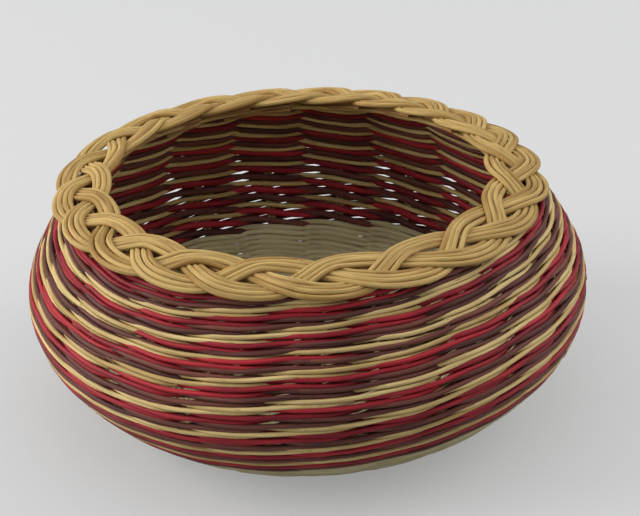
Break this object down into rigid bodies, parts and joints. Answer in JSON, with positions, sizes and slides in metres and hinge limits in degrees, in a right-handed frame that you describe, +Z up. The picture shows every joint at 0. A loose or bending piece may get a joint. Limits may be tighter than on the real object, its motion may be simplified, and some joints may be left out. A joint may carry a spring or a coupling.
{
  "type": "woven reed basket",
  "caption": "Squat round basket of woven reed with a flat base, striped bulging wall, narrower open mouth and a plaited border.",
  "frame": {"origin": "on the floor, under the middle of the base", "axes": "+Z up through the mouth, +X to the right and +Y to the back as the picture shows the basket; the woven rows rise towards +X"},
  "size_m": [0.2716, 0.2708, 0.1198],
  "materials": {
    "natural_reed": "satin",
    "stake_reed": "satin",
    "red_reed": "satin, dyed",
    "maroon_reed": "satin, dyed",
    "border_reed": "satin"
  },
  "bodies": {
    "root": {"base_sticks_lower": "natural_reed", "base_sticks_upper": "natural_reed", "base_twining_lower": "natural_reed", "base_twining_upper": "natural_reed", "base_weave_1": "natural_reed", "base_weave_2": "natural_reed", "base_weave_3": "natural_reed", "base_weave_4": "natural_reed", "base_weave_5": "natural_reed", "base_weave_6": "natural_reed", "stake_01": "stake_reed", "stake_02": "stake_reed", "stake_03": "stake_reed", "stake_04": "stake_reed", "stake_05": "stake_reed", "stake_06": "stake_reed", "stake_07": "stake_reed", "stake_08": "stake_reed", "stake_09": "stake_reed", "stake_10": "stake_reed", "stake_11": "stake_reed", "stake_12": "stake_reed", "stake_13": "stake_reed", "stake_14": "stake_reed", "stake_15": "stake_reed", "stake_16": "stake_reed", "stake_17": "stake_reed", "stake_18": "stake_reed", "stake_19": "stake_reed", "stake_20": "stake_reed", "stake_21": "stake_reed", "wale_row_01_maroon": "maroon_reed", "wale_row_02_red": "red_reed", "wale_row_03_natural": "natural_reed", "wale_row_04_maroon": "maroon_reed", "wale_row_05_red": "red_reed", "wale_row_06_natural": "natural_reed", "wale_row_07_maroon": "maroon_reed", "wale_row_08_red": "red_reed", "wale_row_09_natural": "natural_reed", "wale_row_10_maroon": "maroon_reed", "wale_row_11_red": "red_reed", "wale_row_12_natural": "natural_reed", "wale_row_13_maroon": "maroon_reed", "wale_row_14_red": "red_reed", "wale_row_15_natural": "natural_reed", "wale_row_16_maroon": "maroon_reed", "wale_row_17_red": "red_reed", "wale_row_18_natural": "natural_reed", "wale_row_19_red": "red_reed", "wale_row_20_natural": "natural_reed", "wale_row_21_maroon": "maroon_reed", "wale_row_22_red": "red_reed", "wale_row_23_natural": "natural_reed", "wale_row_24_maroon": "maroon_reed", "wale_row_25_red": "red_reed", "border_strand_1": "border_reed", "border_strand_2": "border_reed", "border_strand_3": "border_reed"}
  },
  "joints": []
}
